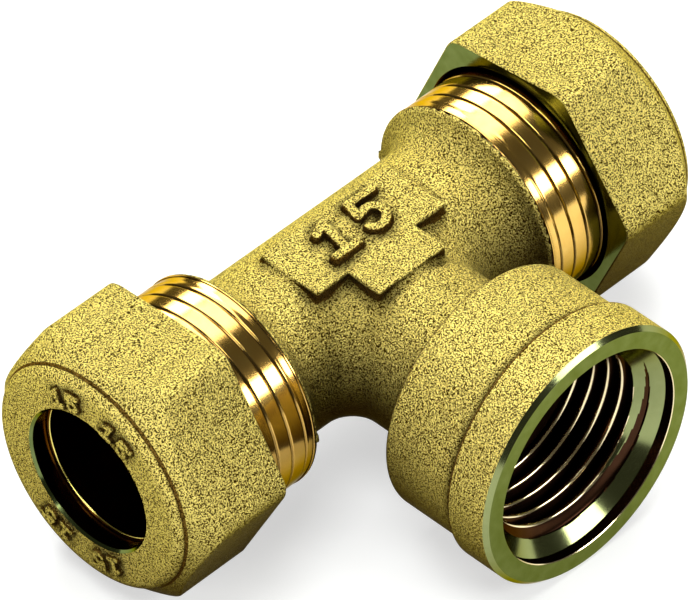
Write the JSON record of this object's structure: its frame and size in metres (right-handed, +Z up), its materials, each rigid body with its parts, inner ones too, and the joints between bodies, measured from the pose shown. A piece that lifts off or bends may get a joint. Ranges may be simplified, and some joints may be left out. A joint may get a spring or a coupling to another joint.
{
  "type": "compression pipe tee",
  "caption": "Brass pipe tee with a compression nut on each run end and a branch with a female pipe thread, for joining copper tube to a threaded fitting.",
  "frame": {"origin": "bottom centre of the tee as it lies on a table", "axes": "+X along the run to the right end, -Y out of the branch, +Z up"},
  "size_m": [0.07, 0.0462, 0.0277],
  "materials": {
    "forged_brass": "shot-blasted forging with machined, bright threads and mouth",
    "nut_brass": "shot-blasted flats with a machined back face",
    "olive_brass": "smooth turned"
  },
  "bodies": {
    "body": {"tee_body": "forged_brass"},
    "left_carrier": {"left_olive": "olive_brass"},
    "right_carrier": {"right_olive": "olive_brass"},
    "left_nut": {"left_nut": "nut_brass"},
    "right_nut": {"right_nut": "nut_brass"}
  },
  "joints": [
    {"name": "left_nut_travel", "type": "slide", "parent": "body", "child": "left_carrier", "axis": [-1, 0, 0], "range_m": [0, 0.0041]},
    {"name": "left_nut_turn", "type": "hinge", "parent": "left_carrier", "child": "left_nut", "pos_m": [-0.029, 0.00842, 0.01385], "axis": [-1, 0, 0], "range_deg": [0, 810]},
    {"name": "right_nut_travel", "type": "slide", "parent": "body", "child": "right_carrier", "axis": [1, 0, 0], "range_m": [0, 0.0041]},
    {"name": "right_nut_turn", "type": "hinge", "parent": "right_carrier", "child": "right_nut", "pos_m": [0.029, 0.00842, 0.01385], "axis": [1, 0, 0], "range_deg": [0, 810]}
  ],
  "couplings": [
    {"joint": "left_nut_travel", "follows": "left_nut_turn", "m_per_rad": 0.00028871},
    {"joint": "right_nut_travel", "follows": "right_nut_turn", "m_per_rad": 0.00028871}
  ]
}
